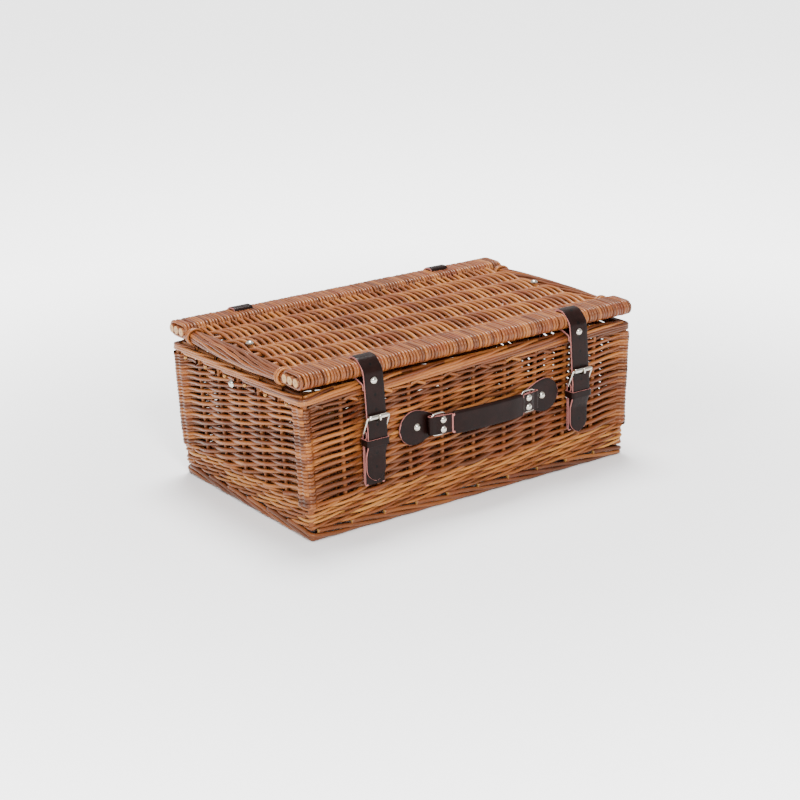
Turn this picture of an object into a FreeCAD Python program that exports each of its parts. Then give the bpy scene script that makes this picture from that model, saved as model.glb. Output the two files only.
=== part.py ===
import FreeCAD, Part
import math
import os

from FreeCAD import Vector

# Willow picnic hamper with a hinged lid, two buckled leather straps and a leather handle.
# X runs along the length, the handle faces -Y, and Z = 0 is the underside of the foot.
# Everything is drawn about the middle of the basket, then moved back by CENTRE_SHIFT,
# so that the origin lies under the middle of the whole object, handle and hinges included.

# ---- driving dimensions (mm) ----
CENTRE_SHIFT = 9.25           # the buckles stand out further in front than the hinges behind

BASE_HALF_X = 242.0           # half the outside size at the foot
BASE_HALF_Y = 150.0
RIM_HALF_X = 250.0            # half the outside size of the wall at the rim
RIM_HALF_Y = 152.0
RIM_Z = 180.0                 # top of the rolled border
WALL = 12.0                   # thickness of the woven wall
FOOT_Z = 14.0                 # top of the foot border
WALE_Z = 44.0                 # top of the band of twisted rods
BORDER_Z = 164.0              # underside of the rolled top border
BORDER_PROUD = 2.0            # how far the top border stands out from the wall
BASE_THICK = 10.0

STAKE_R = 2.6
STAKES_LONG = 9               # stakes between the corners of a long wall
STAKES_SHORT = 5
STAKE_GAP = 47.0
POST_R = 4.0                  # the two thick sticks at each corner
BASE_STICKS = 5
BASE_STICK_R = 3.0

LID_HALF_X = 256.0
LID_HALF_Y = 156.0
ROLL_STICK_R = 5.8            # three of these lie side by side in each lid roll
ROLL_STICKS = 3
ROLL_STICK_GAP = 11.8
ROLL_WRAP = 4.6               # thickness of the rods wrapped round the sticks
ROLL_Z = 197.6                # middle of the rolls
ROLL_END = 6.0                # bare stick past the end of the wrapping
LID_LOW_Z = 191.0             # underside and top of the woven panel of the lid
LID_HIGH_Z = 204.0
LID_STICKS = 4
LID_STICK_R = 3.0
LID_STICK_GAP = 46.4
SIDE_WIDTH = 28.0             # the bundles of rods along the short edges of the lid
SIDE_LOW_Z = 180.6
SIDE_HIGH_Z = 206.0


STRAP_X = 155.5               # straps and hinges stand this far either side of the middle
STRAP_WIDTH = 27.0
LEATHER = 2.6
HINGE_TAIL_Z = 92.0           # lower end of the rear hinge straps

HEEL_OUT = 7.5                # heel bar and roller of the buckles, out from the wall face
ROLLER_OUT = 19.0
BUCKLE_RISE = 22.0
HEEL_R = 2.0
FRAME_R = 2.0
FRAME_HALF = 16.5             # middle of the side bars of a buckle
ROLLER_R = 4.0
PRONG_R = 1.5
CHAPE_LOW_Z = 56.0
KEEPER_HIGH = 9.0
HEEL_Z = {"left": 121.0, "right": 115.0}
TIP_Z = {"left": 61.0, "right": 53.0}

HANDLE_X = 6.0                # middle of the handle, a little off the middle of the wall
HANDLE_Z = 111.0
RING_INNER_X = 58.5           # inboard and outboard bars of the rings, out from the middle
RING_OUTER_X = 79.5
RING_HALF_Z = 15.0
RING_R = 1.5
TAB_TIP_X = 121.5
TAB_R = 20.0
GRIP_HALF_X = 54.5
GRIP_HIGH = 30.0
GRIP_THICK = 8.0
HANDLE_STRAP_HIGH = 23.0

STUD_R = 5.0
RIVET_R = 4.5
STAY_Y = 7.0                  # leather stays inside that stop the lid, one at each end
STAY_WIDTH = 20.0
STAY_LID_X = 221.0
STAY_WALL_Z = 158.0
STAY_FOLD_Z = 48.0

X = Vector(1, 0, 0)
Y = Vector(0, 1, 0)
Z = Vector(0, 0, 1)
SIDES = {"left": -1, "right": 1}
ENDS = {"front": -1, "rear": 1}


def half_size(z):
    """Half the outside size of the sloping wall at height z."""
    t = z / RIM_Z
    return (BASE_HALF_X + (RIM_HALF_X - BASE_HALF_X) * t,
            BASE_HALF_Y + (RIM_HALF_Y - BASE_HALF_Y) * t)


def box(x0, x1, y0, y1, z0, z1):
    return Part.makeBox(x1 - x0, y1 - y0, z1 - z0, Vector(x0, y0, z0))


def rod(a, b, radius):
    a = Vector(*a)
    b = Vector(*b)
    return Part.makeCylinder(radius, (b - a).Length, a, b - a)


def fuse(shapes):
    return shapes[0].multiFuse(shapes[1:]).removeSplitter()


def group(shapes):
    return Part.makeCompound(shapes)


def tapered(low, z0, high, z1):
    """Solid between two rectangles, each given as x0, x1, y0, y1."""
    wires = []
    for (x0, x1, y0, y1), z in ((low, z0), (high, z1)):
        corners = [(x0, y0), (x1, y0), (x1, y1), (x0, y1), (x0, y0)]
        wires.append(Part.makePolygon([Vector(x, y, z) for x, y in corners]))
    return Part.makeLoft(wires, True, True)


def wall_bar(side, z0, z1, proud=0.0):
    """One of the four straight pieces of a band of the wall, between two heights."""
    outlines = []
    for z in (z0, z1):
        hx, hy = half_size(z)
        inner_y = hy - WALL
        hx_out = hx + proud
        hy_out = hy + proud
        outlines.append({
            "front": (-hx_out, hx_out, -hy_out, -inner_y),
            "rear": (-hx_out, hx_out, inner_y, hy_out),
            "left": (-hx_out, WALL - hx, -inner_y, inner_y),
            "right": (hx - WALL, hx_out, -inner_y, inner_y),
        }[side])
    return tapered(outlines[0], z0, outlines[1], z1)


def ribbon(points, thickness, start, width, along):
    """Leather band: a path in the plane across 'along', with a thickness and a width."""
    left = []
    right = []
    for i, p in enumerate(points):
        before = points[max(i - 1, 0)]
        after = points[min(i + 1, len(points) - 1)]
        a = unit2(p, before) if i else unit2(after, p)
        b = unit2(after, p) if i < len(points) - 1 else a
        nx, ny = -(a[1] + b[1]), a[0] + b[0]
        length = math.hypot(nx, ny)
        cosine = (-a[1] * nx + a[0] * ny) / length
        k = thickness / 2 / cosine / length
        left.append((p[0] + nx * k, p[1] + ny * k))
        right.append((p[0] - nx * k, p[1] - ny * k))
    outline = left + right[::-1] + left[:1]
    if along is X:
        wire = Part.makePolygon([Vector(start, u, v) for u, v in outline])
    else:
        wire = Part.makePolygon([Vector(u, v, start) for u, v in outline])
    return Part.Face(wire).extrude(along * width)


def unit2(tip, tail):
    """Direction in the plane from tail to tip."""
    dx, dy = tip[0] - tail[0], tip[1] - tail[1]
    length = math.hypot(dx, dy)
    return dx / length, dy / length


def dome(centre, axis, radius, high):
    """Low domed head of a stud or rivet, flat side on centre."""
    ball = (radius * radius + high * high) / (2 * high)
    middle = Vector(*centre) - axis * (ball - high)
    sphere = Part.makeSphere(ball, middle)
    keep = Part.makeCylinder(radius + 1, high + 1, Vector(*centre), axis)
    return sphere.common(keep)


# ---- basket ----
def stakes(side):
    """Upright stakes of one wall, on its middle surface, from the wale into the border."""
    count = STAKES_LONG if side in ENDS else STAKES_SHORT
    shapes = []
    for i in range(count):
        offset = (i - (count - 1) / 2) * STAKE_GAP
        ends = []
        for z in (FOOT_Z + 0.5, RIM_Z - 3):
            hx, hy = half_size(z)
            spread = hx / BASE_HALF_X
            if side in ENDS:
                ends.append((offset * spread, ENDS[side] * (hy - WALL / 2), z))
            else:
                ends.append((SIDES[side] * (hx - WALL / 2), offset, z))
        shapes.append(rod(ends[0], ends[1], STAKE_R))
    return shapes


def corner_posts(side, end):
    """Two thick sticks side by side at one corner."""
    shapes = []
    for inset in (WALL / 2, WALL * 1.5):
        ends = []
        for z in (FOOT_Z + 0.5, RIM_Z - 3):
            hx, hy = half_size(z)
            ends.append((SIDES[side] * (hx - WALL / 2), ENDS[end] * (hy - inset), z))
        shapes.append(rod(ends[0], ends[1], POST_R))
    return shapes


def base_sticks():
    z = FOOT_Z + BASE_THICK / 2
    gap = 2 * (BASE_HALF_Y - WALL) / (BASE_STICKS + 1)
    ys = [(i - (BASE_STICKS - 1) / 2) * gap for i in range(BASE_STICKS)]
    end = BASE_HALF_X - WALL - 1
    return [rod((-end, y, z), (end, y, z), BASE_STICK_R) for y in ys]


def base_weave():
    hx = BASE_HALF_X - WALL
    hy = BASE_HALF_Y - WALL
    plate = box(-hx, hx, -hy, hy, FOOT_Z, FOOT_Z + BASE_THICK)
    return plate.cut(group(base_sticks()))


def band(z0, z1, uprights, proud=0.0):
    """All four straight pieces of a band of the wall, bored for the upright sticks."""
    return {side: wall_bar(side, z0, z1, proud).cut(uprights)
            for side in ("front", "rear", "left", "right")}


# ---- lid ----
def roll_offsets():
    return [(i - (ROLL_STICKS - 1) / 2) * ROLL_STICK_GAP for i in range(ROLL_STICKS)]


def roll_centre():
    return LID_HALF_Y - ROLL_WRAP - ROLL_STICK_R - ROLL_STICK_GAP * (ROLL_STICKS - 1) / 2


def roll_sticks(end):
    y = ENDS[end] * roll_centre()
    return [rod((-LID_HALF_X, y + d, ROLL_Z), (LID_HALF_X, y + d, ROLL_Z), ROLL_STICK_R)
            for d in roll_offsets()]


def stadium(y, radius, x0, x1):
    """Long rounded bar of the roll's section, with the given end radius."""
    reach = ROLL_STICK_GAP * (ROLL_STICKS - 1) / 2
    middle = box(x0, x1, y - reach, y + reach, ROLL_Z - radius, ROLL_Z + radius)
    ends = [rod((x0, y + d, ROLL_Z), (x1, y + d, ROLL_Z), radius) for d in (-reach, reach)]
    return fuse([middle] + ends)


def roll_wrap(end):
    x = LID_HALF_X - ROLL_END
    solid = stadium(ENDS[end] * roll_centre(), ROLL_STICK_R + ROLL_WRAP, -x, x)
    return solid.cut(group(roll_sticks(end)))


def roll_loop(side, end):
    """Leather taken once round a lid roll."""
    x = SIDES[side] * STRAP_X
    inner = ROLL_STICK_R + ROLL_WRAP + 0.3
    y = ENDS[end] * roll_centre()
    x0 = x - STRAP_WIDTH / 2
    x1 = x + STRAP_WIDTH / 2
    return stadium(y, inner + LEATHER, x0, x1).cut(stadium(y, inner, x0 - 1, x1 + 1))


def lid_sticks():
    z = (LID_LOW_Z + LID_HIGH_Z) / 2
    ys = [(i - (LID_STICKS - 1) / 2) * LID_STICK_GAP for i in range(LID_STICKS)]
    end = LID_HALF_X - 10
    return [rod((-end, y, z), (end, y, z), LID_STICK_R) for y in ys]


def roll_inner_y():
    return 2 * roll_centre() - LID_HALF_Y


def lid_weave():
    hx = LID_HALF_X - SIDE_WIDTH
    hy = roll_inner_y()
    plate = box(-hx, hx, -hy, hy, LID_LOW_Z, LID_HIGH_Z)
    return plate.cut(group(lid_sticks() + loop_slots()))


def loop_slots():
    """Slits in the panel where the leather loops pass down behind the rolls."""
    slots = []
    for sx in SIDES.values():
        for sy in ENDS.values():
            y = sy * roll_inner_y()
            half = STRAP_WIDTH / 2 + 0.5
            x = sx * STRAP_X
            depth = LEATHER + 0.8
            slots.append(box(x - half, x + half, y - depth, y + depth, LID_LOW_Z - 1, LID_HIGH_Z + 1))
    return slots


def lid_border(side):
    x0, x1 = sorted((SIDES[side] * (LID_HALF_X - SIDE_WIDTH), SIDES[side] * LID_HALF_X))
    hy = roll_inner_y()
    bar = box(x0, x1, -hy, hy, SIDE_LOW_Z, SIDE_HIGH_Z)
    return bar.cut(group(lid_sticks()))


# ---- leather and metal ----
def wall_face(z):
    """Distance from the middle of the basket to the outside face of the long walls."""
    return half_size(z)[1]


def hinge_strap(side):
    x = SIDES[side] * STRAP_X
    y = wall_face(RIM_Z) + BORDER_PROUD + 0.4
    tail = box(x - STRAP_WIDTH / 2, x + STRAP_WIDTH / 2, y, y + LEATHER, HINGE_TAIL_Z, ROLL_Z - 6.5)
    roll = stadium(roll_centre(), ROLL_STICK_R + ROLL_WRAP + 0.3, -LID_HALF_X, LID_HALF_X)
    return fuse([roll_loop(side, "rear"), tail.cut(roll)])


def hinge_rivets():
    y = wall_face(RIM_Z) + BORDER_PROUD + 0.4 + LEATHER
    heads = []
    for sx in SIDES.values():
        for z in (HINGE_TAIL_Z + 14, BORDER_Z - 14):
            heads.append(dome((sx * STRAP_X, y, z), Y, RIVET_R, 2.6))
    return heads


def strap_path(side):
    """Middle line of a front strap below its rivet: out over the buckle, then down."""
    heel = HEEL_Z[side]
    face = wall_face(heel)
    top = LID_HALF_Y + LEATHER * 1.5 + 0.7
    over = face + HEEL_OUT + HEEL_R + 0.4 + LEATHER + 1.7
    flat = face + 2 * LEATHER + 4.3
    return [(-top, 190.0), (-top, 178.0), (-over + 1.6, heel + BUCKLE_RISE),
            (-over, heel + 5), (-over, heel - 16), (-flat, heel - 28), (-flat, TIP_Z[side])]


def strap_tail(side):
    x0 = SIDES[side] * STRAP_X - STRAP_WIDTH / 2
    band_solid = ribbon(strap_path(side), LEATHER, x0, STRAP_WIDTH, X)
    x = SIDES[side] * STRAP_X
    heel = HEEL_Z[side]
    hole = box(x - 3.2, x + 3.2, -LID_HALF_Y - 20, -LID_HALF_Y, heel + 2, heel + 14)
    return band_solid.cut(hole)


def strap_loop(side):
    """Upper end of a front strap: round the front roll, with its end laid underneath."""
    x = SIDES[side] * STRAP_X
    y = -LID_HALF_Y - LEATHER - 0.3
    flap = box(x - STRAP_WIDTH / 2, x + STRAP_WIDTH / 2, y, y + LEATHER, 176.0, ROLL_Z)
    roll = stadium(-roll_centre(), ROLL_STICK_R + ROLL_WRAP + 0.3, -LID_HALF_X, LID_HALF_X)
    return fuse([roll_loop(side, "front"), flap.cut(roll)])


def strap_rivets():
    y = -(LID_HALF_Y + LEATHER * 2 + 0.8)
    return [dome((sx * STRAP_X, y, 185.0), -Y, RIVET_R, 2.6) for sx in SIDES.values()]


def buckle_points(side):
    """Heel bar and roller bar, as places in the plane across the buckle."""
    face = wall_face(HEEL_Z[side])
    return ((-face - HEEL_OUT, HEEL_Z[side]),
            (-face - ROLLER_OUT, HEEL_Z[side] + BUCKLE_RISE))


def buckle_frame(side):
    x = SIDES[side] * STRAP_X
    heel, roller = buckle_points(side)
    bars = [rod((x - FRAME_HALF, *heel), (x + FRAME_HALF, *heel), HEEL_R),
            rod((x - FRAME_HALF, *roller), (x + FRAME_HALF, *roller), FRAME_R)]
    for s in (-FRAME_HALF, FRAME_HALF):
        bars.append(rod((x + s, *heel), (x + s, *roller), FRAME_R))
        for place in (heel, roller):
            bars.append(Part.makeSphere(FRAME_R, Vector(x + s, *place)))
    return fuse(bars)


def buckle_roller(side):
    x = SIDES[side] * STRAP_X
    roller = buckle_points(side)[1]
    half = FRAME_HALF - FRAME_R - 0.4
    tube = rod((x - half, *roller), (x + half, *roller), ROLLER_R)
    return tube.cut(rod((x - half - 1, *roller), (x + half + 1, *roller), FRAME_R + 0.05))


def buckle_prong(side):
    """Prong: an eye round the heel bar, and a pin that rests on the roller."""
    x = SIDES[side] * STRAP_X
    heel, roller = buckle_points(side)
    dy, dz = unit2(roller, heel)
    out = ROLLER_R + PRONG_R + 1.2
    tip = (roller[0] - dz * out + dy * 3, roller[1] + dy * out + dz * 3)
    eye = rod((x - 2.5, *heel), (x + 2.5, *heel), HEEL_R + 1.9)
    pin = rod((x, *heel), (x, *tip), PRONG_R)
    bore = rod((x - 4, *heel), (x + 4, *heel), HEEL_R + 0.05)
    return fuse([eye, pin]).cut(bore)


def buckle_chape(side):
    """Leather folded round the heel bar and carried down the wall."""
    x = SIDES[side] * STRAP_X
    heel = buckle_points(side)[0]
    face = wall_face(HEEL_Z[side])
    x0 = x - STRAP_WIDTH / 2
    x1 = x + STRAP_WIDTH / 2
    slab = box(x0, x1, -face - 2.4 - 1.7 * LEATHER, -face - 2.4, CHAPE_LOW_Z, heel[1])
    fold = rod((x0, *heel), (x1, *heel), HEEL_R + 0.15 + LEATHER * 0.8)
    bore = rod((x0 - 1, *heel), (x1 + 1, *heel), HEEL_R + 0.15)
    slot = box(x - 4, x + 4, -face - 20, -face - 2.6, heel[1] - 7, heel[1] + 7)
    return fuse([slab, fold]).cut(bore).cut(slot)


def chape_rivets():
    """Short rivets that hold the two chapes off the wall."""
    rivets = []
    for side, sx in SIDES.items():
        face = wall_face(HEEL_Z[side])
        for z in (CHAPE_LOW_Z + 12, CHAPE_LOW_Z + 34):
            rivets.append(rod((sx * STRAP_X, -face - 2.4, z), (sx * STRAP_X, -face, z), RIVET_R))
    return rivets


def keeper(side):
    """Fixed-width leather loop round the chape and the strap, below the heel bar."""
    x = SIDES[side] * STRAP_X
    heel = HEEL_Z[side]
    face = wall_face(heel)
    half = STRAP_WIDTH / 2 + 0.9
    y0 = -face - HEEL_OUT - HEEL_R - LEATHER - 0.4 - 3.4
    y1 = -face - 2.1
    z0 = heel - 5.5 - KEEPER_HIGH
    z1 = heel - 5.5
    outer = box(x - half - 1.8, x + half + 1.8, y0 - 1.8, y1 + 1.7, z0, z1)
    return outer.cut(box(x - half, x + half, y0, y1, z0 - 1, z1 + 1))


def handle_tab(side):
    """Egg-shaped leather tab, its narrow end folded round the inboard bar of the ring."""
    s = SIDES[side]
    face = wall_face(HANDLE_Z) + 0.3
    y0 = -face - LEATHER
    wide = HANDLE_X + s * (TAB_TIP_X - TAB_R)
    narrow = HANDLE_X + s * RING_INNER_X
    disc = Part.makeCylinder(TAB_R, LEATHER, Vector(wide, y0, HANDLE_Z), Y)
    corners = [(wide, TAB_R), (narrow, 8.0), (narrow, -8.0), (wide, -TAB_R), (wide, TAB_R)]
    outline = Part.makePolygon([Vector(x, y0, HANDLE_Z + z) for x, z in corners])
    blade = Part.Face(outline).extrude(Y * LEATHER)
    eye = rod((narrow, ring_y(), HANDLE_Z - 8), (narrow, ring_y(), HANDLE_Z + 8), RING_R + 2.7)
    neck = box(min(narrow, narrow + s * 4.2), max(narrow, narrow + s * 4.2), ring_y(), y0 + LEATHER,
               HANDLE_Z - 8, HANDLE_Z + 8)
    bore = rod((narrow, ring_y(), HANDLE_Z - 9), (narrow, ring_y(), HANDLE_Z + 9), RING_R + 0.3)
    return fuse([disc, blade, eye, neck]).cut(bore)


def ring_y():
    """The rings lie this far in front, clear of the leather behind them."""
    return -(wall_face(HANDLE_Z) + 0.3 + LEATHER + 5.4)


def handle_ring(side):
    s = SIDES[side]
    xs = [HANDLE_X + s * x for x in (RING_INNER_X, RING_OUTER_X)]
    zs = [HANDLE_Z + s2 * RING_HALF_Z for s2 in (-1, 1)]
    y = ring_y()
    bars = [rod((x, y, zs[0]), (x, y, zs[1]), RING_R) for x in xs]
    bars += [rod((xs[0], y, z), (xs[1], y, z), RING_R) for z in zs]
    bars += [Part.makeSphere(RING_R, Vector(x, y, z)) for x in xs for z in zs]
    return fuse(bars)


def handle_path():
    """Middle line of the handle strap from above, bowed away from the wall."""
    y = ring_y()
    half = [(81.5, y - 3.6), (73.5, y - 3.6), (70.5, y - 5.4), (60.5, y - 5.4), (54.5, y - 7.4),
            (38.0, y - 9.6)]
    left = [(HANDLE_X - x, v) for x, v in half]
    right = [(HANDLE_X + x, v) for x, v in half[::-1]]
    return left + [(HANDLE_X, y - 11.0)] + right


def handle_strap():
    z0 = HANDLE_Z - HANDLE_STRAP_HIGH / 2
    z1 = z0 + HANDLE_STRAP_HIGH
    y = ring_y()
    shapes = [ribbon(handle_path(), LEATHER, z0, HANDLE_STRAP_HIGH, Z)]
    for s in SIDES.values():
        x0, x1 = sorted((HANDLE_X + s * 71.0, HANDLE_X + s * 83.9))
        shell = box(x0, x1, y - 4.9, y + 4.6, z0, z1)
        h0, h1 = sorted((HANDLE_X + s * 73.5, HANDLE_X + s * 81.5))
        shapes.append(shell.cut(box(h0, h1, y - 2.4, y + 2.4, z0 - 1, z1 + 1)))
    return fuse(shapes)


def handle_grip():
    """Thick sleeve round the middle of the strap."""
    y = ring_y()
    path = [(HANDLE_X - GRIP_HALF_X, y - 7.4), (HANDLE_X - 38.0, y - 9.6), (HANDLE_X, y - 11.0),
            (HANDLE_X + 38.0, y - 9.6), (HANDLE_X + GRIP_HALF_X, y - 7.4)]
    sleeve = ribbon(path, GRIP_THICK, HANDLE_Z - GRIP_HIGH / 2, GRIP_HIGH, Z)
    return sleeve.cut(handle_strap())


def handle_rivets():
    """Two rivets through each end of the handle strap."""
    y = ring_y()
    front = y - 5.4 - LEATHER / 2 - 0.05
    return [dome((HANDLE_X + s * 65.5, front, HANDLE_Z + d), -Y, RIVET_R, 2.4)
            for s in SIDES.values() for d in (-6.0, 6.0)]


def handle_studs():
    y = -(wall_face(HANDLE_Z) + 0.3 + LEATHER)
    return [dome((HANDLE_X + s * 96.0, y, HANDLE_Z), -Y, STUD_R, 3.2) for s in SIDES.values()]


def wall_studs():
    hx = half_size(STAY_WALL_Z + STUD_R)[0] + 0.1
    return [dome((s * hx, STAY_Y, STAY_WALL_Z), X * s, STUD_R, 3.0) for s in SIDES.values()]


def lid_studs():
    return [dome((s * STAY_LID_X, STAY_Y, LID_HIGH_Z + 0.1), Z, STUD_R, 3.0) for s in SIDES.values()]


def stay(side):
    """Leather stay hung in a long fold between the wall stud and the lid stud."""
    s = SIDES[side]
    outer = half_size(0)[0] - WALL - 0.6
    inner = outer - 7.0
    top = LID_LOW_Z - 0.4
    y0 = STAY_Y - STAY_WIDTH / 2
    y1 = STAY_Y + STAY_WIDTH / 2

    def layer(a, b, z0, z1):
        x0, x1 = sorted((s * a, s * b))
        return box(x0, x1, y0, y1, z0, z1)

    wall_leg = layer(outer - 2.2, outer, STAY_FOLD_Z, STAY_WALL_Z + 10)
    lid_leg = layer(inner, inner + 2.2, STAY_FOLD_Z, top)
    fold = layer(inner, outer, STAY_FOLD_Z, STAY_FOLD_Z + 2.2)
    end = layer(STAY_LID_X - 10, inner + 2.2, top - 2.2, top)
    return fuse([wall_leg, lid_leg, fold, end])


def build():
    """Every sub-part of the hamper, by name."""
    nodes = {}
    uprights = []
    for side in ("front", "rear", "left", "right"):
        nodes[side + "_stakes"] = group(stakes(side))
        uprights += stakes(side)
    for end in ENDS:
        for side in SIDES:
            posts = corner_posts(side, end)
            nodes["corner_posts_" + end + "_" + side] = group(posts)
            uprights += posts
    bores = group(uprights)

    nodes["foot_border"] = group([wall_bar(side, 0, FOOT_Z) for side in ("front", "rear", "left", "right")])
    nodes["base_sticks"] = group(base_sticks())
    nodes["base_weave"] = base_weave()
    nodes["bottom_wale"] = group(list(band(FOOT_Z, WALE_Z, bores).values()))
    for side, plate in band(WALE_Z, BORDER_Z, bores).items():
        nodes[side + "_wall_weave"] = plate
    nodes["top_border"] = group(list(band(BORDER_Z, RIM_Z, bores, BORDER_PROUD).values()))

    nodes["lid_weave"] = lid_weave()
    nodes["lid_sticks"] = group(lid_sticks())
    for end in ENDS:
        nodes["lid_" + end + "_sticks"] = group(roll_sticks(end))
        nodes["lid_" + end + "_wrap"] = roll_wrap(end)
    nodes["lid_studs"] = group(lid_studs())
    nodes["wall_studs"] = group(wall_studs())
    nodes["hinge_rivets"] = group(hinge_rivets())
    nodes["strap_rivets"] = group(strap_rivets())
    nodes["chape_rivets"] = group(chape_rivets())
    for side in SIDES:
        nodes["lid_border_" + side] = lid_border(side)
        nodes["hinge_strap_" + side] = hinge_strap(side)
        nodes["stay_" + side] = stay(side)
        nodes["strap_loop_" + side] = strap_loop(side)
        nodes["strap_tail_" + side] = strap_tail(side)
        nodes["buckle_frame_" + side] = buckle_frame(side)
        nodes["buckle_roller_" + side] = buckle_roller(side)
        nodes["buckle_prong_" + side] = buckle_prong(side)
        nodes["buckle_chape_" + side] = buckle_chape(side)
        nodes["keeper_" + side] = keeper(side)
        nodes["handle_tab_" + side] = handle_tab(side)
        nodes["handle_ring_" + side] = handle_ring(side)

    nodes["handle_strap"] = handle_strap()
    nodes["handle_grip"] = handle_grip()
    nodes["handle_rivets"] = group(handle_rivets())
    nodes["handle_studs"] = group(handle_studs())
    return nodes


os.makedirs("parts", exist_ok=True)
for name, shape in build().items():
    shape.translate(Vector(0, CENTRE_SHIFT, 0))
    shape.exportStep("parts/" + name + ".step")
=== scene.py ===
import bmesh
import bpy
import math
import random
from mathutils import Matrix, Vector


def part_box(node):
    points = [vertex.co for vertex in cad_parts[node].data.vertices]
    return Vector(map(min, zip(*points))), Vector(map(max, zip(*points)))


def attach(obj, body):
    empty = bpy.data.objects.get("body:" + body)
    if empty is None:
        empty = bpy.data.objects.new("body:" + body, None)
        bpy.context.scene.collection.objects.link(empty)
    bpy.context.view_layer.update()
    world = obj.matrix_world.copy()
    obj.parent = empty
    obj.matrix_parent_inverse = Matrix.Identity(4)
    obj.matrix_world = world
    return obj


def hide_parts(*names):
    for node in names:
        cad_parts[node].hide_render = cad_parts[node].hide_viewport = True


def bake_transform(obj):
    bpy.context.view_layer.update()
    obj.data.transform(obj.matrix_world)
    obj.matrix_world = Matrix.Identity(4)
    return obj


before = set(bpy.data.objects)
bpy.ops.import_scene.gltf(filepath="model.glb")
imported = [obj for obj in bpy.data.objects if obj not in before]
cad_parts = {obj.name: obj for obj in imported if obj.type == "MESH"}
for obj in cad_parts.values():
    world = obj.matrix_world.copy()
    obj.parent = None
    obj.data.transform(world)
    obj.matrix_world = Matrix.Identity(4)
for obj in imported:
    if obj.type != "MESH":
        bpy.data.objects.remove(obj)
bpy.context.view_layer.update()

# everything below is worked out in millimetres about the middle of the basket
mm = 0.001


def boxMm(node):
    return [[c / mm for c in corner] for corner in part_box(node)]


footBox = boxMm("foot_border")
rimBox = boxMm("top_border")
centreY = (rimBox[0][1] + rimBox[1][1]) / 2
random.seed(20)

basket = {
    "footX": footBox[1][0], "footY": (footBox[1][1] - footBox[0][1]) / 2, "footZ": footBox[1][2],
    "rimX": rimBox[1][0] - 2, "rimY": (rimBox[1][1] - rimBox[0][1]) / 2 - 2, "rimZ": rimBox[1][2],
    "borderZ": rimBox[0][2], "waleZ": boxMm("bottom_wale")[1][2],
    "midWall": 6.0,          # the stakes stand this far inside the outer face
    "stakeGap": 47.0, "stakesLong": 9, "stakesShort": 5,
    "halfLong": 242.0,       # half the length of a long side where its stakes stand stakeGap apart
}
sides = ("front", "right", "rear", "left")


def halfSize(z):
    # half the outside size of the sloping wall at height z
    t = (z - basket["footZ"]) / (basket["rimZ"] - basket["footZ"])
    return (basket["footX"] + (basket["rimX"] - basket["footX"]) * t,
            basket["footY"] + (basket["rimY"] - basket["footY"]) * t)


def toFrame(p):
    return (p[0] * mm, (p[1] + centreY) * mm, p[2] * mm)


def smooth(t):
    t = min(max(t, 0.0), 1.0)
    return t * t * (3 - 2 * t)


def lerp(a, b, t):
    return a + (b - a) * t


# materials
def arithmetic(operation):
    def method(self, other):
        return self.maths(operation, other)
    return method


class Sock:
    # a node's output, with the arithmetic that the materials need
    def __init__(self, mat, out):
        self.mat = mat
        self.out = out

    def maths(self, operation, *others):
        values = {0: self}
        for i, other in enumerate(others):
            values[i + 1] = other
        return self.mat.add("ShaderNodeMath", {"operation": operation}, values)

    __add__ = __radd__ = arithmetic("ADD")
    __mul__ = __rmul__ = arithmetic("MULTIPLY")
    __sub__ = arithmetic("SUBTRACT")
    power = arithmetic("POWER")

    def __rsub__(self, other):
        return self.mat.add("ShaderNodeMath", {"operation": "SUBTRACT"}, {0: other, 1: self})

    def __abs__(self):
        return self.maths("ABSOLUTE")

    def step(self, low, high):
        # 0 under low, 1 over high, smooth between
        return self.mat.add("ShaderNodeMapRange", {"interpolation_type": "SMOOTHSTEP", "clamp": True},
                            {"Value": self, "From Min": low, "From Max": high, "To Min": 0.0, "To Max": 1.0})


class Mat:
    def __init__(self, name):
        self.data = bpy.data.materials.new(name)
        self.data.use_nodes = True
        self.tree = self.data.node_tree
        self.shader = self.tree.nodes["Principled BSDF"]

    def add(self, kind, settings=None, inputs=None, output=0):
        node = self.tree.nodes.new(kind)
        for key, value in (settings or {}).items():
            if key == "stops":
                ramp = node.color_ramp
                while len(ramp.elements) > 1:
                    ramp.elements.remove(ramp.elements[-1])
                ramp.elements[0].position = value[0][0]
                ramp.elements[0].color = value[0][1]
                for place, colour in value[1:]:
                    ramp.elements.new(place).color = colour
            else:
                setattr(node, key, value)
        for key, value in (inputs or {}).items():
            self.feed(node.inputs[key], value)
        return Sock(self, node.outputs[output])

    def feed(self, socket, value):
        if isinstance(value, Sock):
            self.tree.links.new(value.out, socket)
        else:
            socket.default_value = value

    def mix(self, factor, a, b):
        return self.add("ShaderNodeMix", {"data_type": "RGBA"}, {0: factor, 6: a, 7: b}, output=2)

    def noise(self, vector, scale, detail=2.0, rough=0.5):
        values = {"Vector": vector, "Scale": scale, "Detail": detail, "Roughness": rough}
        return self.add("ShaderNodeTexNoise", {}, values)

    def objectCoords(self):
        return self.add("ShaderNodeTexCoord", output=3)

    def scaled(self, vector, size):
        return self.add("ShaderNodeMapping", {}, {"Vector": vector, "Scale": size})

    def attribute(self, name, output=2):
        return self.add("ShaderNodeAttribute", {"attribute_name": name}, output=output)

    def parts(self, vector):
        node = self.tree.nodes.new("ShaderNodeSeparateXYZ")
        self.feed(node.inputs[0], vector)
        return [Sock(self, out) for out in node.outputs]

    def bump(self, height, strength, distance):
        return self.add("ShaderNodeBump", {}, {"Height": height, "Strength": strength, "Distance": distance})

    def finish(self, **values):
        for key, value in values.items():
            self.feed(self.shader.inputs[key.replace("_", " ")], value)
        return self.data


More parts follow.
